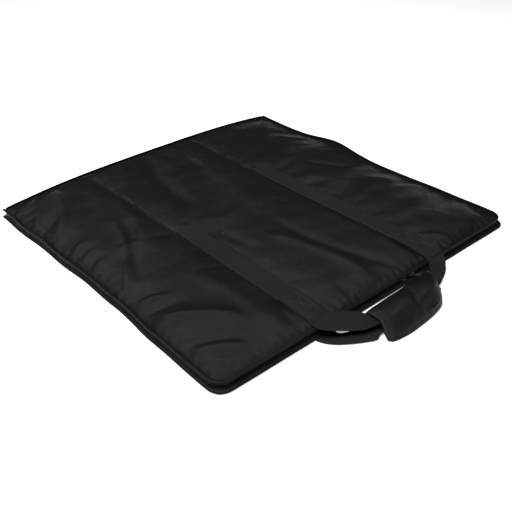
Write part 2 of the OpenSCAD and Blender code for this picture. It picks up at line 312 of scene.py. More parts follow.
def smooth_path(points, count):
    """Points evenly spaced along a smooth curve through the given ones."""
    p = np.asarray(points, float)
    p = np.concatenate([[2 * p[0] - p[1]], p, [2 * p[-1] - p[-2]]])
    dense = []
    steps = 24
    for i in range(1, len(p) - 2):
        for k in range(steps):
            t = k / steps
            a, b, c, d = p[i - 1], p[i], p[i + 1], p[i + 2]
            dense.append(0.5 * (2 * b + (c - a) * t + (2 * a - 5 * b + 4 * c - d) * t ** 2
                                + (3 * b - a - 3 * c + d) * t ** 3))
    dense.append(p[-2])
    dense = np.array(dense)
    length = lengths(dense)
    return sampled(np.linspace(0, length[-1], count), length, dense)


def corner(cx, cy, r, start, steps):
    """Points round a quarter turn, from an angle."""
    angles = [start + 0.5 * math.pi * k / steps for k in range(steps + 1)]
    return [(cx + r * math.cos(a), cy + r * math.sin(a)) for a in angles]


def edge_path(inset, y_end, step):
    """Points along the case's edge in plan, from y_end on the near side, round the two corners at
    the opening, to y_end on the far side. With each goes the direction outward."""
    x = HALF_W - inset
    r = CORNER_R - inset
    cx, cy = HALF_W - CORNER_R, EDGE_Y + CORNER_R
    corners = corner(-cx, cy, r, math.pi, 14) + corner(cx, cy, r, 1.5 * math.pi, 14)
    return resampled(np.array([(-x, y_end)] + corners + [(x, y_end)]), step)


def spine_path(inset, y_start, step):
    """Points from y_start on the far side, round the spine, to y_start on the near side."""
    x = HALF_W - inset
    y = SPINE_Y - inset
    r = SPINE_CORNER_R
    corners = corner(x - r, y - r, r, 0.0, 6) + corner(-(x - r), y - r, r, 0.5 * math.pi, 6)
    return resampled(np.array([(x, y_start)] + corners + [(-x, y_start)]), step)


def resampled(pts, step):
    """Evenly spaced points along a line in plan, the direction outward at each, and its place along."""
    length = lengths(pts)
    at = np.linspace(0, length[-1], int(round(length[-1] / step)) + 1)
    out = sampled(at, length, pts)
    tangent = unit(np.gradient(out, axis=0))
    return out, np.stack([tangent[:, 1], -tangent[:, 0]], axis=1), at


def band_point(path, outward, out, z):
    """A point of the edge band: a place on the path, moved outward, at a height."""
    xy = path + outward * np.broadcast_to(out, len(path))[:, None]
    return np.concatenate([xy, np.broadcast_to(z, len(path))[:, None]], axis=1)


# ---- Materials ----

class Nodes:
    """A short way to write a node material."""

    def __init__(self, name):
        self.material = bpy.data.materials.new(name)
        self.material.use_nodes = True
        self.tree = self.material.node_tree
        self.tree.nodes.clear()
        output = self.tree.nodes.new("ShaderNodeOutputMaterial")
        self.shader = self.tree.nodes.new("ShaderNodeBsdfPrincipled")
        self.tree.links.new(self.shader.outputs[0], output.inputs[0])

    def put(self, socket, value):
        if isinstance(value, bpy.types.NodeSocket):
            self.tree.links.new(value, socket)
        else:
            socket.default_value = value

    def math(self, operation, a, b=0.0, clamp=False):
        node = self.tree.nodes.new("ShaderNodeMath")
        node.operation = operation
        node.use_clamp = clamp
        self.put(node.inputs[0], a)
        self.put(node.inputs[1], b)
        return node.outputs[0]

    def place(self):
        return self.tree.nodes.new("ShaderNodeTexCoord").outputs["Object"]

    def strip(self):
        node = self.tree.nodes.new("ShaderNodeAttribute")
        node.attribute_name = "strip"
        return node.outputs["Vector"]

    def parts(self, vector):
        node = self.tree.nodes.new("ShaderNodeSeparateXYZ")
        self.tree.links.new(vector, node.inputs[0])
        return node.outputs

    def noise(self, vector, scale, detail=3.0, roughness=0.5):
        node = self.tree.nodes.new("ShaderNodeTexNoise")
        self.tree.links.new(vector, node.inputs["Vector"])
        node.inputs["Scale"].default_value = scale
        node.inputs["Detail"].default_value = detail
        node.inputs["Roughness"].default_value = roughness
        return node.outputs[0]

    def between(self, value, low, high, a, b):
        """value from low to high, turned into a to b."""
        node = self.tree.nodes.new("ShaderNodeMapRange")
        self.put(node.inputs["Value"], value)
        for key, number in (("From Min", low), ("From Max", high), ("To Min", a), ("To Max", b)):
            node.inputs[key].default_value = number
        return node.outputs[0]

    def ripple(self, value, pitch):
        """A wave of that pitch, from -1 to 1."""
        return self.math("SINE", self.math("MULTIPLY", value, 2 * math.pi / pitch))

    def colour(self, share, dark, light):
        node = self.tree.nodes.new("ShaderNodeMix")
        node.data_type = "RGBA"
        self.put(node.inputs[0], share)
        node.inputs[6].default_value = (*dark, 1)
        node.inputs[7].default_value = (*light, 1)
        return node.outputs[2]

    def bump(self, height, distance):
        node = self.tree.nodes.new("ShaderNodeBump")
        node.inputs["Strength"].default_value = 1.0
        node.inputs["Distance"].default_value = distance
        self.tree.links.new(height, node.inputs["Height"])
        return node.outputs[0]

    def finish(self, colour, roughness, normal, specular, metallic=0.0):
        self.put(self.shader.inputs["Base Color"], colour)
        self.put(self.shader.inputs["Roughness"], roughness)
        self.put(self.shader.inputs["Normal"], normal)
        self.shader.inputs["Metallic"].default_value = metallic
        self.shader.inputs["Specular IOR Level"].default_value = specular
        return self.material


def nylon_material(name, dark, light, yarn, crinkle, roughness):
    """Fine plain-woven nylon: two sets of yarns, small crinkles, and a satin face."""
    n = Nodes(name)
    place = n.place()
    x, y, z = n.parts(place)
    weave = n.math("MULTIPLY", n.ripple(x, yarn), n.ripple(n.math("ADD", y, z), yarn))
    soft = n.noise(place, 38.0, 5.0, 0.55)
    fine = n.noise(place, 420.0, 3.0, 0.6)
    height = n.math("ADD", n.math("MULTIPLY", weave, 0.10), n.math("MULTIPLY", soft, crinkle))
    height = n.math("ADD", height, n.math("MULTIPLY", fine, 0.35))
    tone = n.math("ADD", n.math("MULTIPLY", n.noise(place, 9.0, 4.0), 0.7), n.math("MULTIPLY", fine, 0.3))
    satin = n.between(soft, 0.3, 0.7, roughness - 0.06, roughness + 0.08)
    return n.finish(n.colour(tone, dark, light), satin, n.bump(height, 0.0009), 0.17)


def webbing_material(name, dark, light):
    """Woven webbing: twill ribs that slant across the strip, a plain selvedge at each edge, and fuzz."""
    n = Nodes(name)
    across, along, _ = n.parts(n.strip())
    pitch = 2.6 * MM
    slant = n.ripple(n.math("ADD", along, n.math("MULTIPLY", across, 0.9)), pitch)
    cross = n.ripple(n.math("SUBTRACT", along, n.math("MULTIPLY", across, 0.9)), pitch * 0.5)
    warp = n.ripple(across, 1.6 * MM)
    rib = n.math("ADD", slant, n.math("MULTIPLY", cross, 0.35))
    rib = n.math("ADD", rib, n.math("MULTIPLY", warp, 0.45))
    fuzz = n.noise(n.place(), 700.0, 3.0, 0.7)
    height = n.math("ADD", rib, n.math("MULTIPLY", fuzz, 0.8))
    share = n.between(height, -1.2, 1.8, 0.0, 1.0)
    worn = n.math("MULTIPLY", n.noise(n.place(), 22.0, 4.0), 0.35)
    return n.finish(n.colour(n.math("ADD", n.math("MULTIPLY", share, 0.75), worn, True), dark, light),
                    n.between(fuzz, 0.3, 0.7, 0.55, 0.75), n.bump(height, 0.00035), 0.16)


def cloth_cord_material(name, dark, light):
    """Covered piping: fine cloth pulled over a cord, with small gathers across it."""
    n = Nodes(name)
    place = n.place()
    gathers = n.noise(place, 260.0, 4.0, 0.6)
    fine = n.noise(place, 900.0, 2.0)
    height = n.math("ADD", gathers, n.math("MULTIPLY", fine, 0.3))
    return n.finish(n.colour(gathers, dark, light), n.between(fine, 0.3, 0.7, 0.5, 0.65),
                    n.bump(height, 0.0005), 0.1)


def tape_material(name, dark, light):
    """Woven zip tape with a herringbone along it."""
    n = Nodes(name)
    across, along, _ = n.parts(n.strip())
    ribs = n.ripple(n.math("ADD", along, across), 1.3 * MM)
    fuzz = n.noise(n.place(), 800.0, 3.0, 0.7)
    height = n.math("ADD", ribs, fuzz)
    return n.finish(n.colour(n.between(height, -1.0, 2.0, 0.0, 1.0), dark, light), 0.72,
                    n.bump(height, 0.00025), 0.2)


def plastic_material(name, dark, light, roughness):
    """Moulded or drawn nylon with a faint grain."""
    n = Nodes(name)
    place = n.place()
    grain = n.noise(place, 600.0, 3.0)
    gloss = n.between(grain, 0.3, 0.7, roughness - 0.05, roughness + 0.1)
    return n.finish(n.colour(grain, dark, light), gloss, n.bump(grain, 0.0002), 0.5)


def painted_metal_material(name, paint, glint_and_unpainted_grey):
    """Black-painted zinc. A painted highlight turns its sharp corners a light grey, standing in for glints,
    and it is worn to grey in a few scratches.
    """
    n = Nodes(name)
    place = n.place()
    geometry = n.tree.nodes.new("ShaderNodeNewGeometry")
    # Painted highlight: the sharp corners, found by pointiness, are coloured light grey in place of glints
    corners = n.between(geometry.outputs["Pointiness"], 0.52, 0.62, 0.0, 1.0)
    scratches = n.between(n.noise(place, 900.0, 6.0, 0.75), 0.62, 0.72, 0.0, 0.8)
    # Share of the light grey: the painted corner highlight, and the worn scratches
    glint_and_scratch_share = n.math("MULTIPLY", n.math("MAXIMUM", corners, scratches), n.noise(place, 240.0, 3.0), True)
    grain = n.noise(place, 1500.0, 2.0)
    return n.finish(n.colour(glint_and_scratch_share, paint, glint_and_unpainted_grey), n.between(grain, 0.3, 0.7, 0.24, 0.4),
                    n.bump(grain, 0.0001), 0.6, 0.4)


def fastener_material(name, dark, light, scale):
    """Hook and loop tape: a dense, matt pile."""
    n = Nodes(name)
    place = n.place()
    pile = n.noise(place, scale, 5.0, 0.8)
    return n.finish(n.colour(pile, dark, light), 0.9, n.bump(pile, 0.0012), 0.2)


def foam_material(name, dark, light):
    """Open-cell foam."""
    n = Nodes(name)
    place = n.place()
    node = n.tree.nodes.new("ShaderNodeTexVoronoi")
    n.tree.links.new(place, node.inputs["Vector"])
    node.inputs["Scale"].default_value = 900.0
    cells = node.outputs["Distance"]
    return n.finish(n.colour(cells, dark, light), 0.9, n.bump(cells, 0.0006), 0.2)


nylon = nylon_material("nylon", (0.0040, 0.0040, 0.0046), (0.0066, 0.0066, 0.0077), 0.9 * MM, 1.2, 0.36)
grip_cloth = nylon_material("grip_cloth", (0.0024, 0.0024, 0.0028), (0.0042, 0.0042, 0.0048),
                            0.9 * MM, 1.0, 0.38)
lining = nylon_material("lining", (0.014, 0.014, 0.016), (0.024, 0.024, 0.027), 1.1 * MM, 0.8, 0.5)
webbing = webbing_material("webbing", (0.0012, 0.0012, 0.0014), (0.020, 0.020, 0.022))
piping = cloth_cord_material("piping", (0.004, 0.004, 0.0045), (0.008, 0.008, 0.009))
zip_tape = tape_material("zip_tape", (0.002, 0.002, 0.0022), (0.006, 0.006, 0.0066))
zip_coil = plastic_material("zip_coil", (0.004, 0.004, 0.0045), (0.008, 0.008, 0.009), 0.36)
thread = plastic_material("thread", (0.010, 0.010, 0.011), (0.020, 0.020, 0.022), 0.5)
# The light grey serves both the painted highlight on the metal's corners and its worn scratches
painted_metal = painted_metal_material("painted_metal", (0.008, 0.008, 0.009), (0.16, 0.16, 0.165))
hook = fastener_material("hook", (0.003, 0.003, 0.003), (0.009, 0.009, 0.009), 1100.0)
loop = fastener_material("loop", (0.004, 0.004, 0.004), (0.013, 0.013, 0.013), 700.0)
foam = foam_material("foam", (0.02, 0.02, 0.021), (0.05, 0.05, 0.052))


# ---- Camera, floor and light ----

CAMERA_PLACE = (-0.6721, -0.8318, 0.6181)
CAMERA_YAW, CAMERA_PITCH, CAMERA_ROLL = 39.63, 33.0, -1.92
CAMERA_LENS = 49.76


def add_camera():
    """The camera stands at the opening's near corner, turned towards the far side and tipped down."""
    yaw, pitch, roll = (math.radians(a) for a in (CAMERA_YAW, CAMERA_PITCH, CAMERA_ROLL))
    ahead = Vector((math.sin(yaw) * math.cos(pitch), math.cos(yaw) * math.cos(pitch), -math.sin(pitch)))
    level = Vector((math.cos(yaw), -math.sin(yaw), 0))
    upward = level.cross(ahead)
    right = level * math.cos(roll) + upward * math.sin(roll)
    up = upward * math.cos(roll) - level * math.sin(roll)
    data = bpy.data.cameras.new("camera")
    data.sensor_width = 36
    data.lens = CAMERA_LENS
    data.clip_start = 0.01
    data.dof.use_dof = False
    camera = bpy.data.objects.new("camera", data)
    turn = Matrix((right, up, -ahead)).transposed().to_4x4()
    camera.matrix_world = Matrix.Translation(CAMERA_PLACE) @ turn
    collection.objects.link(camera)
    scene.camera = camera


def add_light(name, place, target, size, power):
    data = bpy.data.lights.new(name, "AREA")
    data.shape = "ELLIPSE"
    data.size, data.size_y = size
    data.energy = power
    light = bpy.data.objects.new(name, data)
    light.location = place
    light.rotation_euler = (Vector(target) - Vector(place)).to_track_quat("-Z", "Y").to_euler()
    collection.objects.link(light)


def add_stage():
    """A plain pale floor under a large soft light overhead."""
    n = Nodes("floor")
    grain = n.noise(n.place(), 30.0, 3.0)
    floor_material = n.finish(n.colour(grain, (0.86, 0.86, 0.86), (0.9, 0.9, 0.9)), 0.8,
                              n.bump(grain, 0.0001), 0.1)
    half = 6.0
    floor = add_piece("floor", [(-half, -half, 0), (half, -half, 0), (half, half, 0), (-half, half, 0)],
                      [(0, 1, 2, 3)], [floor_material])
    n.shader.inputs["Emission Color"].default_value = (1, 1, 1, 1)
    n.shader.inputs["Emission Strength"].default_value = 0.38
    add_light("overhead", (-0.7, 0.05, 2.3), (-0.2, 0, 0), (2.0, 2.0), 104)
    world = bpy.data.worlds.new("studio")
    world.use_nodes = True
    background = world.node_tree.nodes["Background"]
    background.inputs[0].default_value = (0.97, 0.98, 1.0, 1)
    background.inputs[1].default_value = 0.06
    scene.world = world
    scene.view_settings.view_transform = "Standard"


add_camera()
add_stage()


# ---- Cloth ----

def relaxed(piece, held, pressure, slack, stiffness, frames, cap):
    """Lets a mesh settle as cloth, with some points held, and applies the result, no point moving
    further than cap."""
    before = np.array([v.co for v in piece.data.vertices], float)
    group = piece.vertex_groups.new(name="held")
    group.add([int(i) for i in np.nonzero(held)[0]], 1.0, "REPLACE")
    modifier = piece.modifiers.new("cloth", "CLOTH")
    settings = {
        "quality": 5, "mass": 0.3, "tension_stiffness": 12, "compression_stiffness": 12,
        "shear_stiffness": 6, "bending_stiffness": stiffness, "tension_damping": 8,
        "compression_damping": 8, "air_damping": 2, "use_pressure": True,
        "uniform_pressure_force": pressure, "shrink_min": -slack, "vertex_group_mass": "held",
        "pin_stiffness": 1,
    }
    for key, value in settings.items():
        setattr(modifier.settings, key, value)
    modifier.settings.effector_weights.gravity = 0
    modifier.collision_settings.use_collision = False
    modifier.point_cache.frame_start = 1
    modifier.point_cache.frame_end = frames
    for f in range(1, frames + 1):
        scene.frame_set(f)
    evaluated = piece.evaluated_get(bpy.context.evaluated_depsgraph_get())
    after = np.array([v.co for v in evaluated.data.vertices], float)
    piece.modifiers.clear()
    piece.vertex_groups.clear()
    scene.frame_set(1)
    move = after - before
    length = np.linalg.norm(move, axis=1, keepdims=True)
    move *= cap * np.tanh(length / cap) / np.maximum(length, 1e-9)
    piece.data.vertices.foreach_set("co", (before + move).astype(np.float32).ravel())
    piece.data.update()
    return before + move


# ---- Padded panels ----

def plan_grid(inset, spine_inset, step, seams=()):
    """Rows of points that fill the case's outline, closer together at the rounded corners and seams."""
    r = CORNER_R - inset
    cy = EDGE_Y + CORNER_R
    arc = [cy - r * math.cos(0.5 * math.pi * k / 9) for k in range(9)]
    straight = np.arange(cy, SPINE_Y - spine_inset - step / 2, step)
    ys = np.concatenate([arc, straight, [SPINE_Y - spine_inset]])
    fine = [seam + side * away * MM for seam in seams for side in (-1, 1) for away in (0.9, 2.6)]
    even = np.linspace(-HALF_W, HALF_W, int(round(2 * HALF_W / step)) + 1)
    kept = [x for x in even if all(abs(x - f) > 1.2 * MM for f in fine)]
    u = np.sort(np.array(kept + fine)) / HALF_W
    dy = np.clip(cy - ys, 0, r)
    half = HALF_W - CORNER_R + np.sqrt(np.maximum(r * r - dy * dy, 0))
    return u[None, :] * half[:, None], np.repeat(ys[:, None], len(u), axis=1)


def edge_distance(x, y):
    """How far a place is from the nearest edge of the case."""
    dx = HALF_W - np.abs(x)
    dy = y - EDGE_Y
    d = np.minimum(np.minimum(dx, dy), SPINE_Y - y)
    corner = (dx < CORNER_R) & (dy < CORNER_R)
    round_d = CORNER_R - np.hypot(CORNER_R - dx, CORNER_R - dy)
    return np.maximum(np.where(corner, round_d, d), 0)


# Soft folds in the front face, in millimetres: from a place to a place, half width, height
FOLDS = [
    (-252, 300, -298, 190, 9, 3.2), (-238, 300, -288, 170, 9, -3.2), (-208, 300, -284, 140, 11, 3.6),
    (-140, 220, -214, -10, 24, 4.2), (-196, 112, -300, -78, 8, 3.6), (-176, 84, -262, -64, 13, -3.0),
    (-302, 74, -262, 92, 5, 2.4), (-302, 44, -262, 62, 4, 2.6), (-303, 14, -266, 24, 4, 2.4),
    (-303, 30, -272, 40, 4, -2.0), (-240, 24, -205, 34, 7, 2.4), (-303, -102, -252, -122, 6, 3.0),
    (-303, -122, -244, -146, 8, -2.2), (-306, -150, -200, -236, 17, 7.0), (-292, -214, -224, -264, 9, -2.4),
    (-280, -262, -206, -296, 6, -2.2), (-298, -238, -236, -280, 9, 2.8), (-190, -110, -176, -290, 20, 3.0),
    (-8, 300, -66, 70, 24, -5.0), (44, 300, 8, -20, 26, 4.4), (66, 300, 34, 170, 12, -2.6),
    (-80, -10, -70, -120, 16, -2.4), (-34, -90, 0, -290, 13, 3.6), (4, -70, 48, -292, 14, -3.6),
    (80, -60, 84, -290, 16, 3.2), (150, 20, 200, -60, 14, 3.0), (195, 60, 262, -20, 8, -2.6),
    (150, -262, 176, -296, 8, 3.0), (180, -190, 232, -262, 8, 2.0), (226, 200, 292, 110, 14, 1.8),
    (184, 280, 236, 120, 16, -2.0), (240, -60, 290, -200, 12, 1.8),
]


def folds(x, y):
    total = np.zeros_like(x)
    for x0, y0, x1, y1, width, height in FOLDS:
        a = np.array((x0, y0)) * MM
        b = np.array((x1, y1)) * MM
        length = np.linalg.norm(b - a)
        along = (b - a) / length
        t = ((x - a[0]) * along[0] + (y - a[1]) * along[1]) / length
        bend = 0.06 * length * np.sin(math.pi * np.clip(t, 0, 1)) * (1 if height > 0 else -1)
        s = ((x - a[0]) * -along[1] + (y - a[1]) * along[0]) - bend
        ends = smoothstep((t + 0.12) / 0.34) * smoothstep((1.12 - t) / 0.34)
        total += height * MM * ends / (1 + (s / (width * MM)) ** 2) ** 1.6
    return total


# Each strap: its middle, where its webbing ends, and the sewn seam along its near edge
STRAPS = {"near": (-STRAP_X, NEAR_STRAP_END_Y), "far": (STRAP_X, FAR_STRAP_END_Y)}
SEAMS = [middle - STRAP_W / 2 for middle, _ in STRAPS.values()]


def sewn_dip(x, y):
    """The straps' sewn edges and the seams that run on from them pull the padding down."""
    total = np.zeros_like(x)
    for middle, end in STRAPS.values():
        beside = smoothstep((end - y) / (40 * MM))
        outside = np.maximum(np.abs(x - middle) - STRAP_W / 2, 0)
        total += beside * (3.0 * MM * bell(outside, 0, 26 * MM) + 0.8 * MM * bell(outside, 0, 4 * MM))
        total += (1 - beside) * (1.6 * MM * bell(x, middle - STRAP_W / 2, 20 * MM)
                                 + 1.2 * MM * bell(x, middle - STRAP_W / 2, 3.5 * MM))
    return total


def under_strap(x, y, margin=1.5 * MM):
    covered = np.zeros(x.shape, bool)
    for middle, end in STRAPS.values():
        covered |= (np.abs(x - middle) < STRAP_W / 2 + margin) & (y < end + margin)
    return covered


def front_panel():
    """The padded front face: nylon above, lining below, puffed up between its seams."""
    step = 4 * MM
    seam_inset = 3.2 * MM
    x, y = plan_grid(seam_inset, seam_inset, step, SEAMS)
    d = edge_distance(x, y) - seam_inset
    near_d = np.minimum(x + HALF_W, y - EDGE_Y) - seam_inset
    far_d = np.minimum(HALF_W - x, SPINE_Y - y) - seam_inset
    near_rise = 1 - np.exp(-np.maximum(np.minimum(near_d, d + 4 * MM), 0) / (14 * MM))
    far_rise = 1 - np.exp(-np.maximum(far_d, 0) / (40 * MM))
    crown = near_rise * far_rise
    pucker = 0.6 * MM * wobble(x, y, 31, 15 * MM) * bell(d, 7 * MM, 8 * MM)
    seam_z = HIGH_SEAM_Z - 1.0 * MM
    inner = smoothstep(d / (24 * MM))
    calm = np.where(under_strap(x, y), 0.5, 1.0)
    top_z = seam_z + (TOP_Z + 2.2 * MM - seam_z) * crown - inner * sewn_dip(x, y)
    top_z = top_z + inner * calm * folds(x, y)
    top_z = top_z + inner * calm * 0.6 * MM * wobble(x, y, 5, 60 * MM) + calm * pucker
    top = np.stack([x, y, top_z], axis=-1)
    sheet = add_piece("front_panel_sheet", top.reshape(-1, 3), grid_faces(*x.shape), [nylon])
    held = under_strap(x, y)
    held[0], held[-1], held[:, 0], held[:, -1] = True, True, True, True
    for seam in SEAMS:
        held |= np.abs(x - seam) < 1.2 * MM
    top = relaxed(sheet, held.ravel(), pressure=1.2, slack=0.004, stiffness=4.0, frames=22,
                  cap=2 * MM).reshape(top.shape)
    bpy.data.objects.remove(sheet)
    low = LINING_Z - 1.2 * MM
    seam_low = HIGH_SEAM_Z - 2.6 * MM
    quilt = 0.6 * MM * wobble(x, y, 11, 60 * MM)
    bottom_z = seam_low + (low - seam_low) * smoothstep(d / (20 * MM)) + inner * quilt
    bottom = np.stack([x, y, bottom_z], axis=-1)
    panel = closed_sheet("front_panel", settled(top), settled(bottom), nylon, lining)
    return subdivided(panel)


def back_panel():
    """The padded back face: lining above, nylon below, flat where it rests on the table."""
    step = 6 * MM
    seam_inset = 2.6 * MM
    x, y = plan_grid(seam_inset, seam_inset, step)
    d = edge_distance(x, y) - seam_inset
    channel = under_strap(x, y)
    bottom_z = LOW_SEAM_Z * np.exp(-d / (5 * MM)) * 0.8
    bottom_z = np.maximum(bottom_z, channel * BACK_STRAP_Z)
    top_z = LOW_SEAM_Z + 1.2 * MM + (BACK_LINING_Z - LOW_SEAM_Z - 1.2 * MM) * smoothstep(d / (22 * MM))
    top_z = top_z + smoothstep(d / (30 * MM)) * 0.3 * MM * (wobble(x, y, 21, 60 * MM) - 1)
    bottom = np.stack([x, y, bottom_z], axis=-1)
    top = np.stack([x, y, top_z], axis=-1)
    panel = closed_sheet("back_panel", settled(top), settled(bottom), lining, nylon)
    slots = np.array([p.material_index for p in panel.data.polygons])
    count = (x.shape[0] - 1) * (x.shape[1] - 1)
    slots[2 * count:] = 1
    panel.data.polygons.foreach_set("material_index", [int(s) for s in slots])
    return subdivided(panel)


front = front_panel()
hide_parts("front_cover_flap", "front_cover_rear", "front_foam_flap", "front_foam_rear",
            "front_lining_flap", "front_lining_rear")
surface = BVHTree.FromObject(front, bpy.context.evaluated_depsgraph_get())

back = back_panel()
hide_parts("back_cover", "back_foam", "back_lining")
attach(back, "case_body")


def on_panel(x, y, lift):
    """A place on the front face, as the case lies, lifted a little off its cloth."""
    rest = settled((x, y, TOP_Z))
    hit = surface.ray_cast(Vector((rest[0], rest[1], 0.2)), Vector((0, 0, -1)))
    z = hit[0].z if hit[0] is not None else rest[2]
    return rest[0], rest[1], z + lift


# ---- Edge band: piping, zip and gusset ----

def cord_rings(path, outward, along, z, radius, seed):
    """Rings round the piping's path, with small swellings and a slow drift."""
    sides = 10
    rings = []
    swell = 1 + 0.05 * wobble(along, along * 0, seed, 9 * MM)
    drift = 0.25 * MM * wobble(along, along * 0, seed + 1, 55 * MM)
    for k in range(sides):
        a = 2 * math.pi * k / sides
        rings.append(band_point(path, outward, radius * swell * math.cos(a) + drift,
                                z + radius * swell * math.sin(a) + drift * 0.6))
    return settled(np.stack(rings, axis=1))


def edge_piping(name, z, seed):
    path, outward, along = edge_path(PIPING_R, SPINE_Y - 3 * MM, 2.5 * MM)
    return loft(name, cord_rings(path, outward, along, z, PIPING_R * 1.25, seed), piping)


def tape_grid(z_low, z_high):
    """The middle of a zip tape, between two heights."""
    path, outward, along = edge_path(1.5 * MM, ZIP_END_Y, 3 * MM)
    wave = 0.25 * MM * wobble(along, along * 0, 31, 40 * MM)
    rows = [band_point(path, outward, 0.3 * MM * math.sin(math.pi * k) + wave, z_low + (z_high - z_low) * k)
            for k in np.linspace(0, 1, 6)]
    return settled(np.stack(rows, axis=1))


def zip_row(name, z):
    """One side of the coil: a bead for each turn, leaning a little."""
    path, outward, _ = edge_path(0.4 * MM, ZIP_END_Y - 4 * MM, 1.7 * MM)
    centre = settled(band_point(path, outward, 0.0, z))
    tangent = np.gradient(centre, axis=0)
    lean = np.tile((0.0, 0.0, 1.0), (len(path), 1)) + 0.25 * unit(tangent)
    return scattered(name, centre, lean, tangent, (2.5 * MM, 1.15 * MM, 1.5 * MM), zip_coil)


def band_stitches(name, z):
    path, outward, _ = edge_path(1.1 * MM, ZIP_END_Y - 2 * MM, 3.4 * MM)
    centre = settled(band_point(path, outward, 0.0, z))
    out = np.concatenate([outward, np.zeros((len(outward), 1))], axis=1)
    return scattered(name, centre, np.gradient(centre, axis=0), out, (2.4 * MM, 0.5 * MM, 0.5 * MM), thread)


upper_piping = edge_piping("upper_piping", HIGH_SEAM_Z, 41)
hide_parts("upper_piping_flap", "upper_piping_rear")

lower_cord = edge_piping("lower_piping_cord", LOW_SEAM_Z - 0.9 * MM, 43)
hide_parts("lower_piping")
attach(lower_cord, "case_body")

for name, z_low, z_high, body, node in (
        ("upper_zip_tape", ZIP_MID_Z + 0.4 * MM, HIGH_SEAM_Z - 1 * MM, "front_flap", "zip_tape_upper"),
        ("lower_zip_tape", LOW_SEAM_Z + 0.6 * MM, ZIP_MID_Z - 0.4 * MM, "case_body", "zip_tape_lower")):
    tape = thick_strip(name, tape_grid(z_low, z_high), 0.7 * MM, zip_tape, lift=-0.5 * MM)
    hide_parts(node)
    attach(tape, body)

for name, z, body, node in (("upper_zip_coil", ZIP_MID_Z + 1.35 * MM, "front_flap", "zip_coil_upper"),
                            ("lower_zip_coil", ZIP_MID_Z - 1.35 * MM, "case_body", "zip_coil_lower")):
    row = zip_row(name, z)
    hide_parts(node)
    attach(row, body)

for name, z, body in (("upper_tape_stitches", HIGH_SEAM_Z - 2.0 * MM, "front_flap"),
                      ("lower_tape_stitches", LOW_SEAM_Z + 2.0 * MM, "case_body")):
    row = band_stitches(name, z)
    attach(row, body)


def gusset():
    """The plain cloth band behind the zip's ends, round the spine: slack, with a few soft dents.
    Gives the band and its length."""
    path, outward, along = spine_path(2.2 * MM, FOLD_Y - 2 * MM, 4 * MM)
    spine = smoothstep((path[:, 1] - SPINE_Y + 30 * MM) / (26 * MM))
    slack = 1.2 * MM + 1.6 * MM * spine + 0.7 * MM * wobble(along, along * 0, 51, 45 * MM)
    low = LOW_SEAM_Z - 1.2 * MM
    height = HIGH_SEAM_Z + 1.4 * MM - LOW_SEAM_Z + 1.2 * MM
    rows = [band_point(path, outward, math.sin(math.pi * k) * slack, low + height * k)
            for k in np.linspace(0, 1, 9)]
    grid = settled(np.stack(rows, axis=1))
    return thick_strip("gusset_band", grid[::-1], 0.8 * MM, nylon, lift=-0.4 * MM), along[-1]


band, band_length = gusset()
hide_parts("spine_cover", "side_gusset_near", "side_gusset_far")
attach(band, "case_body")

PATCH = 13 * MM


def zip_end_patch(name, side):
    """The folded patch that closes an end of the zip."""
    y_low, z_low = FOLD_Y - 5 * MM, LOW_SEAM_Z + 0.8 * MM
    ys = np.linspace(y_low, y_low + PATCH, 9)
    zs = np.linspace(z_low, z_low + HIGH_SEAM_Z - LOW_SEAM_Z - 1.4 * MM, 7)
    yy, zz = np.meshgrid(ys, zs, indexing="ij")
    puff = 1.0 * MM * np.sqrt(np.clip(np.sin(math.pi * (yy - y_low) / PATCH), 0, 1))
    grid = settled(np.stack([side * (HALF_W - 1.2 * MM + puff), yy, zz], axis=-1))
    return thick_strip(name, grid if side > 0 else grid[::-1], 0.7 * MM, nylon)


for name, side in (("zip_end_patch_near", -1), ("zip_end_patch_far", 1)):
    patch = zip_end_patch(name, side)
    if side < 0:
        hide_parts("zip_end_tabs")
    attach(patch, "case_body")


# ---- Webbing on the case ----

STRAP_START_Y = EDGE_Y + 19 * MM
HEM = 14 * MM
ACROSS = 13


def front_strap_grid(middle, y_start, y_end):
    """Webbing that lies sewn on the front face, with its cut end turned under."""
    us = np.linspace(-0.5, 0.5, ACROSS) * STRAP_W
    ys = np.linspace(y_start, y_end, int((y_end - y_start) / (4 * MM)))
    rows = []
    for y in ys:
        hem = smoothstep((y - y_end + HEM) / (3 * MM)) * smoothstep((y_end - y + 2.5 * MM) / (2.5 * MM))
        rows.append([on_panel(middle + u, y, 0.15 * MM + 0.9 * MM * hem) for u in us])
    rows = np.array(rows)
    level = rows[..., 2].copy()
    for _ in range(2):
        level[:, 1:-1] = (level[:, :-2] + 2 * level[:, 1:-1] + level[:, 2:]) / 4
    rows[..., 2] = np.maximum(rows[..., 2], level)
    return rows


def strap_edge_stitches(name, grid):
    """A row of stitches near each edge of a strip of webbing."""
    normals = grid_normals(grid)[:-1]
    pitch = 3.6 * MM
    rows = []
    for column in (1, grid.shape[1] - 2):
        line = grid[:-1, column] + normals[:, column] * 1.7 * MM
        rows.append(stitch_places(line, normals[:, column], pitch / 2, pitch))
    return sewn_rows(name, rows, STITCH)


def sewn_seam(name, x, y_start):
    """A row of stitches on the front face, along Y to the spine."""
    ys = np.arange(y_start, SPINE_Y - 14 * MM, 3.4 * MM)
    points = np.array([on_panel(x, y, 0.1 * MM) for y in ys])
    return sewn_rows(name, [(points, np.tile((0.0, 0.0, 1.0), (len(points), 1)))], SEAM_STITCH)


for side, nodes in (("near", ("strap_near_front",)), ("far", ("strap_far_front", "strap_far_rear"))):
    middle, end = STRAPS[side]
    grid = front_strap_grid(middle, STRAP_START_Y, end)
    strap = subdivided(thick_strip(side + "_strap", grid, WEBBING_T, webbing))
    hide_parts(*nodes)
    edge_rows = strap_edge_stitches(side + "_strap_stitches", grid)
    seam = sewn_seam(side + "_seam_stitches", middle - STRAP_W / 2 - 2.2 * MM, end - 30 * MM)
    for piece in (strap, edge_rows, seam):
        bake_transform(piece)

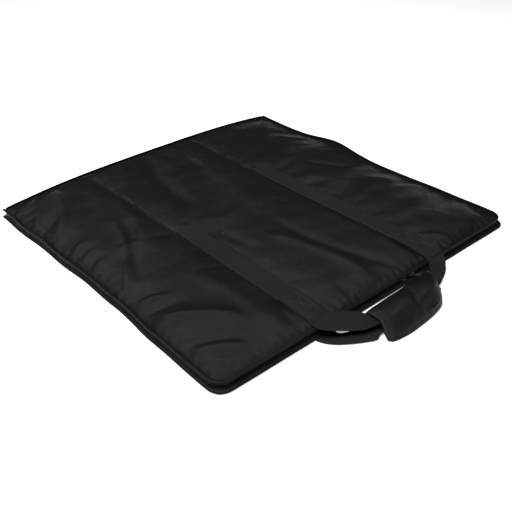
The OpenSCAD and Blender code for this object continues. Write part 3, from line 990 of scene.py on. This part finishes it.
for side, node in (("near", "strap_near_back"), ("far", "strap_far_back")):
    middle, end = STRAPS[side]
    us = np.linspace(-0.5, 0.5, ACROSS) * STRAP_W
    ys = np.arange(EDGE_Y + 6 * MM, end, 6 * MM)
    grid = np.array([[(middle + u, y, 0.3 * MM) for u in us] for y in ys])
    strap = thick_strip(side + "_back_strap", grid, WEBBING_T, webbing)
    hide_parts(node)
    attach(strap, "case_body")


# ---- Handles ----

# Each handle's two edges, in millimetres, from the near strap round to the far one: outer edge, inner edge
FRONT_HANDLE = [
    ((-140, -300, 18.6), (-102, -297, 19.6)), ((-138, -311, 17.0), (-98, -303, 20.5)),
    ((-130, -322, 15.8), (-90, -309, 21.5)), ((-116, -333.5, 14.4), (-80, -318, 21.0)),
    ((-100, -345, 13.0), (-72, -325, 19.5)), ((-86, -353, 12.6), (-66, -333, 18.0)),
    ((-64, -358, 14.0), (-58, -339, 16.0)), ((-30, -366, 14.5), (-30, -339, 16.2)),
    ((0, -368, 14.8), (0, -339, 16.2)), ((30, -364, 14.5), (30, -339, 16.2)),
    ((56, -354, 13.5), (56, -338, 15.5)), ((76, -350, 12.5), (70, -334, 14.0)),
    ((97, -341, 10.0), (82, -326, 11.5)), ((119, -329, 9.0), (94, -318, 12.0)),
    ((135, -316, 11.5), (102, -309, 15.5)), ((141, -304, 16.4), (105, -300, 18.6)),
]
BACK_HANDLE = [
    ((-142, -290, 0.4), (-103, -290, 0.4)), ((-145, -304, 0.4), (-106, -303, 0.5)),
    ((-142, -322, 0.4), (-109, -314, 0.8)), ((-130, -339, 0.4), (-110, -324, 1.0)),
    ((-112, -353, 0.5), (-100, -331, 1.4)), ((-96, -363, 0.6), (-88, -333, 3.0)),
    ((-82, -369.5, 1.0), (-73, -335, 5.2)), ((-69, -366, 2.6), (-56, -338, 5.6)),
    ((-30, -370, 4.0), (-30, -341, 5.8)), ((0, -370, 4.2), (0, -341, 5.8)),
    ((30, -364, 4.0), (30, -341, 5.8)), ((56, -354, 3.6), (54, -339, 5.0)),
    ((80, -348, 2.0), (72, -333, 4.6)), ((104, -338, 0.8), (86, -323, 3.6)),
    ((121, -329, 0.5), (96, -315, 2.0)), ((136, -316, 0.4), (102, -306, 0.6)),
    ((141, -302, 0.4), (103, -298, 0.4)), ((141, -290, 0.4), (103, -290, 0.4)),
]


def handle_grid(edges, count, waves):
    """Webbing between two smooth edges, with soft waves across it at some places along it."""
    pairs = np.array([list(o) + list(i) for o, i in edges], float) * MM
    outer = smooth_path(pairs[:, :3], count)
    inner = smooth_path(pairs[:, 3:], count)
    t = np.linspace(0, 1, ACROSS)[None, :, None]
    grid = outer[:, None, :] * (1 - t) + inner[:, None, :] * t
    s = np.linspace(0, 1, count)[:, None]
    crossing = np.sin(math.pi * t[..., 0])
    for place, width, height in waves:
        grid[..., 2] += height * MM * bell(s, place, width) * crossing
    return grid


def between_points(grid, r, c):
    """The value of a grid at a place between its points."""
    i, j = int(math.floor(r)), int(math.floor(c))
    i2, j2 = min(i + 1, grid.shape[0] - 1), min(j + 1, grid.shape[1] - 1)
    fr, fc = r - i, c - j
    low = grid[i, j] * (1 - fc) + grid[i, j2] * fc
    high = grid[i2, j] * (1 - fc) + grid[i2, j2] * fc
    return low * (1 - fr) + high * fr


def box_stitches(name, grid, first, last):
    """A box with a cross in it, sewn through the webbing."""
    normals = grid_normals(grid)
    left, right = 2, grid.shape[1] - 3
    lines = [[(r, c) for r in range(first, last + 1)] for c in (left, right)]
    lines += [[(r, c) for c in range(left, right + 1)] for r in (first, last)]
    share = np.linspace(0, 1, 12)
    for start, end in ((left, right), (right, left)):
        lines.append([(first + (last - first) * s, start + (end - start) * s) for s in share])
    rows = []
    for line in lines:
        points = np.array([between_points(grid, r, c) for r, c in line])
        up = np.array([between_points(normals, r, c) for r, c in line])
        if up[:, 2].mean() < 0:
            up = -up
        rows.append(stitch_places(points + up * 0.3 * MM, up, 1.4 * MM, 2.9 * MM))
    return sewn_rows(name, rows, BOX_STITCH)


def sewn_end(middle, y_far, y_near, outer_first):
    """The end of the front handle, sewn down on a strap, from its cut end towards the opening."""
    us = np.linspace(-0.5, 0.5, ACROSS) * STRAP_W
    if not outer_first:
        us = us[::-1]
    ys = np.linspace(y_far, y_near, 14)
    return np.array([[on_panel(middle + u, y, 3.1 * MM) for u in us] for y in ys])


FRONT_WAVES = [(0.05, 0.04, 1.6), (0.15, 0.05, -1.4), (0.24, 0.04, 2.0), (0.84, 0.05, 1.4)]
BACK_WAVES = [(0.2, 0.05, 1.0), (0.8, 0.05, 1.0)]
loose = handle_grid(FRONT_HANDLE, 150, FRONT_WAVES)
near_end = sewn_end(-STRAP_X, -232 * MM, -291 * MM, True)
far_end = sewn_end(STRAP_X, -291 * MM, -232 * MM, False)
whole = np.concatenate([near_end, loose, far_end])
front_grid = np.stack([smooth_path(whole[:, k], 240) for k in range(ACROSS)], axis=1)
front_handle = subdivided(thick_strip("front_handle_strip", front_grid, WEBBING_T, webbing))
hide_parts("front_handle_webbing")
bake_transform(front_handle)

row_y = front_grid[:, ACROSS // 2, 1]
half = len(front_grid) // 2
for name, places in (("near_box_stitch", range(half)), ("far_box_stitch", range(half, 2 * half))):
    rows = [i for i in places if -289 * MM < row_y[i] < -236 * MM]
    box = box_stitches(name, front_grid, rows[0], rows[-1])
    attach(box, "front_flap")

back_grid = handle_grid(BACK_HANDLE, 170, BACK_WAVES)
back_handle = subdivided(thick_strip("back_handle_strip", back_grid, WEBBING_T, webbing, lift=-WEBBING_T))
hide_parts("back_handle_webbing")
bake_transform(back_handle)


# ---- Grip ----

# The wrap's outer face, in millimetres: sections from the near end to the far one, each from the
# inner edge over the top and down the outer side to the hem
WRAP = [
    [(-65, -328.5, 14.0), (-67, -335, 18.5), (-66, -348, 20.0), (-67, -360, 16.0), (-72, -371, 8.5),
     (-74, -380, 1.8)],
    [(-58, -328, 14.5), (-58, -333.5, 20.5), (-56, -349, 24.4), (-57, -364, 22.8), (-63, -379, 12.5),
     (-67, -387, 1.2)],
    [(-36, -327.5, 14.5), (-35, -333, 21.0), (-34, -350, 25.4), (-35, -366, 24.4), (-38, -382, 13.0),
     (-40, -391, 1.2)],
    [(2, -327, 14.5), (1, -332, 21.0), (0, -350, 25.8), (-1, -366.5, 24.6), (-4, -382, 13.0),
     (-6, -390, 1.4)],
    [(40, -325, 14.5), (38, -330, 21.0), (36, -349, 25.2), (33, -364, 24.0), (28, -379, 12.5),
     (22, -387, 2.0)],
    [(66, -323.5, 14.0), (66, -328.5, 20.0), (60, -348, 23.0), (55, -360, 22.0), (48, -374, 12.0),
     (40, -382.5, 3.0)],
    [(80, -324, 12.5), (80, -328, 17.0), (72, -346, 19.0), (64, -357, 17.5), (57, -368, 11.0),
     (48, -377, 4.5)],
]
CORE = [(-375.5, 12.2), (-371, 17.4), (-364, 20.6), (-356, 22.0), (-346, 21.0), (-339, 18.4),
        (-335.5, 15.5), (-335, 12.2)]
BASE = [(-337.5, 11.0), (-335.8, 8.0), (-336.2, 3.5), (-340, 0.6), (-352, 0.2), (-364, 0.2), (-374, 0.5),
        (-380, 1.6), (-382.2, 4.0), (-381, 6.6), (-378.4, 9.0), (-375.6, 11.0)]
HEM_SHARE = 0.085
WRAP_T = 2.6 * MM


def section_grid(sections, count_x, count_s):
    """A surface through the sections, smooth along and across them."""
    lines = [smooth_path(np.array(section, float) * MM, count_s) for section in sections]
    stacked = np.stack(lines)
    return np.stack([smooth_path(stacked[:, k], count_x) for k in range(count_s)], axis=1)


def soft_wrap_grid():
    """The wrap's outer face with its soft dents and the pinch beside each bound end."""
    grid = section_grid(WRAP, 76, 54)
    rows, columns = grid.shape[:2]
    t = np.linspace(-1, 1, rows)[:, None]
    s = np.linspace(0, 1, columns)[None, :]
    n = grid_normals(grid)
    if n[rows // 2, columns // 2, 2] < 0:
        n = -n
    body = np.sin(math.pi * np.clip(s, 0, 1)) ** 0.5
    dents = 0.55 * MM * wobble(grid[..., 0], grid[..., 1] + grid[..., 2], 61, 34 * MM)
    pinch = 0.9 * MM * (bell(t, -0.87, 0.035) + 0.6 * bell(t, 0.86, 0.05))
    slant = grid[..., 0] - 0.6 * grid[..., 1]
    crease = 0.8 * MM * bell(slant, 220 * MM, 5 * MM) * smoothstep((s - 0.1) / 0.2)
    return grid + n * (body * (dents - pinch - crease))[..., None], n


wrap_grid, wrap_normals = soft_wrap_grid()


def padded_wrap():
    """The wrap over the top and outer side of the grip: a padded sheet with rolled, stitched hems."""
    rows, columns = wrap_grid.shape[:2]
    s = np.linspace(0, 1, columns)[None, :]
    t = np.abs(np.linspace(-1, 1, rows))[:, None]
    thick = WRAP_T * (0.75 + 0.25 * smoothstep((1 - t) / 0.10)) * np.ones_like(s)
    groove = bell(1 - s, HEM_SHARE, 0.010) + bell(t, 0.95, 0.010) * (s < 0.92)
    rim = np.clip(np.minimum((1 - t) / 0.02, np.minimum(1 - s, s) / 0.02), 0, 1) ** 0.5
    outer = wrap_grid - wrap_normals * (0.6 * MM * groove + 0.9 * MM * (1 - rim))[..., None]
    inner = wrap_grid - wrap_normals * (thick * (0.45 + 0.55 * rim))[..., None]
    inner[..., 2] = np.maximum(inner[..., 2], 0.4 * MM)
    return subdivided(closed_sheet("grip_wrap", outer[:, ::-1], inner[:, ::-1], grip_cloth, lining))


wrap = padded_wrap()
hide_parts("grip_top_cover", "grip_flap_cover")
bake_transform(wrap)


def hem_stitches():
    """The stitch line above the flap's hem and along both ends of the wrap."""
    rows, columns = wrap_grid.shape[:2]
    hem_column = int(round((1 - HEM_SHARE) * (columns - 1)))
    lines = [(slice(2, -2), hem_column)]
    lines += [(int(round(share * (rows - 1))), slice(3, hem_column)) for share in (0.025, 0.975)]
    made = [stitch_places(wrap_grid[line], wrap_normals[line], 1.5 * MM, 3.3 * MM) for line in lines]
    return sewn_rows("grip_hem_stitches", made, STITCH, sink=0.25 * MM)


hem = hem_stitches()
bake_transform(hem)


def drawn_in(x):
    """How much of the grip's width is left at a place along it: the far end is cut on a slant."""
    far = np.clip((x / MM - 26) / 42, 0, 1)
    near = np.clip((-x / MM - 50) / 20, 0, 1)
    return 1 - 0.5 * far ** 1.4 - 0.1 * near ** 2


def grip_pad(name, section, floor_z, x_near, x_far, material):
    """A foam or covered pad inside the grip: a section carried along it, closed by a flat at floor_z."""
    line = smooth_path(np.array(section) * MM, 34)
    xs = np.linspace(x_near, x_far, 44)
    keep = drawn_in(xs)[:, None]
    inner_y = line[:, 0].max()
    y = inner_y + (line[None, :, 0] - inner_y) * keep
    z = np.repeat(line[None, :, 1], len(xs), axis=0)
    x = np.repeat(xs[:, None], len(line), axis=1)
    curved = np.stack([x, y, z], axis=-1)
    flat = curved.copy()
    flat[..., 2] = floor_z
    flat[:, 0], flat[:, -1] = (curved[:, 0] + flat[:, 0]) / 2, (curved[:, -1] + flat[:, -1]) / 2
    return subdivided(closed_sheet(name, curved, flat, material, material))


core = grip_pad("grip_top_pad", CORE, 12.1 * MM, -52 * MM, 60 * MM, foam)
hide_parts("grip_top_foam")
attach(core, "front_handle")

base = grip_pad("grip_base_pad", BASE, 11.2 * MM, -64 * MM, 66 * MM, grip_cloth)
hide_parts("grip_base_cover", "grip_base_foam")
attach(base, "back_handle")


def fastener(name, s_low, s_high, depth, thickness, material):
    """A strip of hook or loop tape that follows the wrap's flap, at a depth under its outer face."""
    rows, columns = wrap_grid.shape[:2]
    first, last = int(s_low * columns), int(s_high * columns)
    start, stop = int(0.14 * rows), int(0.80 * rows)
    grid = wrap_grid[start:stop, first:last] - wrap_normals[start:stop, first:last] * depth
    return thick_strip(name, grid[:, ::-1], thickness, material)


hooks = fastener("grip_hooks", 0.74, 0.92, WRAP_T + 0.9 * MM, 0.8 * MM, hook)
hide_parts("grip_hook_strip")
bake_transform(hooks)
loops = fastener("grip_loops", 0.82, 0.92, WRAP_T + 1.6 * MM, 0.6 * MM, loop)
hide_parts("grip_loop_strip")
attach(loops, "back_handle")


# ---- Zip sliders and pull tabs ----

def rounded_block(name, low, high, radius, material):
    """A moulded block with rounded edges."""
    (x0, y0, z0), (x1, y1, z1) = low, high
    verts = [(x, y, z) for z in (z0, z1) for y in (y0, y1) for x in (x0, x1)]
    faces = [(0, 2, 3, 1), (4, 5, 7, 6), (0, 1, 5, 4), (2, 6, 7, 3), (0, 4, 6, 2), (1, 3, 7, 5)]
    piece = add_piece(name, verts, faces, [material])
    bevel = piece.modifiers.new("bevel", "BEVEL")
    bevel.width = radius
    bevel.segments = 3
    return applied(piece)


def joined(name, pieces):
    """Several meshes as one object."""
    verts, faces, materials, slots = [], [], [], []
    for piece in pieces:
        offset = len(verts)
        index = len(materials)
        materials.extend(piece.data.materials)
        verts.extend(tuple(piece.matrix_world @ v.co) for v in piece.data.vertices)
        for polygon in piece.data.polygons:
            faces.append(tuple(offset + i for i in polygon.vertices))
            slots.append(index + polygon.material_index)
        bpy.data.objects.remove(piece)
    return add_piece(name, verts, faces, materials, slots)


def tube(name, points, radius, material, sides=12):
    """A round bar through the points."""
    p = np.asarray(points, float)
    tangent = unit(np.gradient(p, axis=0))
    guide = np.tile((0.0, 0.0, 1.0), (len(p), 1))
    guide[np.abs(tangent[:, 2]) > 0.9] = (1.0, 0.0, 0.0)
    a = unit(np.cross(tangent, guide))
    b = np.cross(tangent, a)
    radii = np.broadcast_to(radius, len(p))[:, None]
    angles = [2 * math.pi * k / sides for k in range(sides)]
    rings = [p + (a * math.cos(angle) + b * math.sin(angle)) * radii for angle in angles]
    return loft(name, np.stack(rings, axis=1), material)


def slider_plate(length, height):
    """The outline of a slider's waisted plate, about its middle."""
    outline = []
    for k in range(28):
        a = 2 * math.pi * k / 28
        px = math.copysign(abs(math.cos(a)) ** 0.55, math.cos(a)) * length / 2
        pz = math.copysign(abs(math.sin(a)) ** 0.6, math.sin(a)) * height / 2
        waist = 1 - 0.16 * math.cos(math.pi * px / (length / 2)) * 0.5
        outline.append((px, pz * waist))
    return outline


def slider_piece(name, node):
    """A slider: a waisted plate with a bridge for the pull tab, a neck through the zip, and a rear plate."""
    low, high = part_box(node)
    cx, middle = (low.x + high.x) / 2, (low.z + high.z) / 2
    half = (high.x - low.x) / 2
    outline = slider_plate(high.x - low.x, high.z - low.z)
    front_y, rear_y = EDGE_Y - 1.9 * MM, EDGE_Y - 0.7 * MM
    levels = ((front_y, 0.88), (front_y + 0.25 * MM, 0.98), (rear_y - 0.2 * MM, 1.0), (rear_y, 0.94))
    rings = [[(cx + px * share, y, middle + pz * share) for px, pz in outline] for y, share in levels]
    bridge = []
    for k in range(15):
        a = math.pi * k / 14
        bridge.append((cx + 3.4 * MM * math.cos(a), front_y - 2.3 * MM * math.sin(a) ** 0.7, middle))
    radii = 0.75 * MM + 0.35 * MM * np.abs(np.linspace(-1, 1, 15)) ** 2
    neck = ((cx - 2.6 * MM, rear_y - 0.3 * MM, middle - 0.22 * MM),
            (cx + 2.6 * MM, EDGE_Y + 3.0 * MM, middle + 0.22 * MM))
    rear = ((cx - half + 0.5 * MM, EDGE_Y + 2.5 * MM, low.z + 0.3 * MM),
            (cx + half - 0.5 * MM, EDGE_Y + 3.2 * MM, high.z - 0.3 * MM))
    return joined(name, [
        loft(name + "_plate", rings, painted_metal),
        tube(name + "_bridge", bridge, radii, painted_metal),
        rounded_block(name + "_neck", *neck, 0.1 * MM, painted_metal),
        rounded_block(name + "_back", *rear, 0.25 * MM, painted_metal),
    ])


def tongue_outline():
    """The outline of a pull tab's tongue: how far along it, and how far to the side."""
    start, length, count = 6.2 * MM, 20.5 * MM, 30
    outline = []
    for k in range(count + 1):
        t = k / count
        widening = 1.1 * MM * smoothstep((t - 0.12) / 0.4)
        rounding = 2.6 * MM * np.clip((t - 0.86) / 0.14, 0, 1) ** 3
        half = max(1.5 * MM + widening - rounding, 0.25 * MM)
        outline.append((start + (length - start) * t, float(half)))
    return outline + [(a, -h) for a, h in outline[::-1]]


# Levels through the tongue, in millimetres: depth, and share of the outline
TONGUE = [(-0.75, 0.72), (-0.55, 0.78), (-0.8, 0.84), (-0.8, 0.94), (-0.45, 1.0), (0.45, 1.0), (0.8, 0.94),
          (0.8, 0.84), (0.55, 0.78), (0.75, 0.72)]


def pull_piece(name, joint, side):
    """A pull tab: a ring round the bridge, and a long tongue with a raised rim."""
    pin = Vector(joints[joint]["pos_m"])
    angle = math.radians(180 + 40) if side < 0 else math.radians(-40)
    ahead = Vector((math.cos(angle), math.sin(angle), 0))
    flat = Vector((0, 0, 1))
    thin = ahead.cross(flat)
    ring = []
    for k in range(25):
        a = 2 * math.pi * k / 24
        ring.append(pin + ahead * (3.3 * MM + 3.3 * MM * math.cos(a)) + flat * (1.9 * MM * math.sin(a)))
    face = tongue_outline()
    centre = sum(a for a, _ in face) / len(face)
    rings = []
    for depth, share in TONGUE:
        level = pin + thin * (depth * MM)
        rings.append([tuple(level + ahead * (centre + (a - centre) * share) + flat * (h * share))
                      for a, h in face])
    return joined(name, [tube(name + "_ring", ring, 0.45 * MM, painted_metal),
                         loft(name + "_tongue", rings, painted_metal)])


for name, node in (("slider_near_metal", "slider_near"), ("slider_far_metal", "slider_far")):
    piece = slider_piece(name, node)
    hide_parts(node)
    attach(piece, node)
for name, node, side in (("pull_near_metal", "pull_tab_near", -1), ("pull_far_metal", "pull_tab_far", 1)):
    piece = pull_piece(name, node + "_swing", side)
    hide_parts(node)
    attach(piece, node)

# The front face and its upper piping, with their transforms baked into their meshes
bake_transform(front)
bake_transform(upper_piping)
